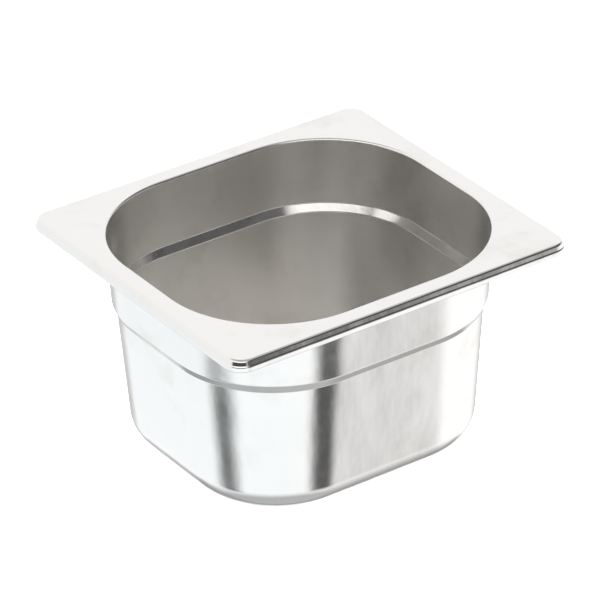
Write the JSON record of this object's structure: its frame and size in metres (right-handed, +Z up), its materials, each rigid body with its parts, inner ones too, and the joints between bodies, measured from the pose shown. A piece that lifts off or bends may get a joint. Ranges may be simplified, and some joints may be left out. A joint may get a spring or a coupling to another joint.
{
  "type": "food pan",
  "caption": "Deep rectangular steel food pan with a flat flanged rim, turned-down lip, wide rounded corners, a stacking ledge and a tapered wall.",
  "frame": {"origin": "centre of the flat underside of the base", "axes": "+X along the longer side of the rim, +Y along the shorter side, +Z up out of the pan's mouth"},
  "size_m": [0.176, 0.162, 0.1],
  "materials": {
    "stainless_steel": "Bright, softly polished stainless steel with faint drawing marks on the walls."
  },
  "bodies": {
    "root": {"pan": "stainless_steel"}
  },
  "joints": []
}
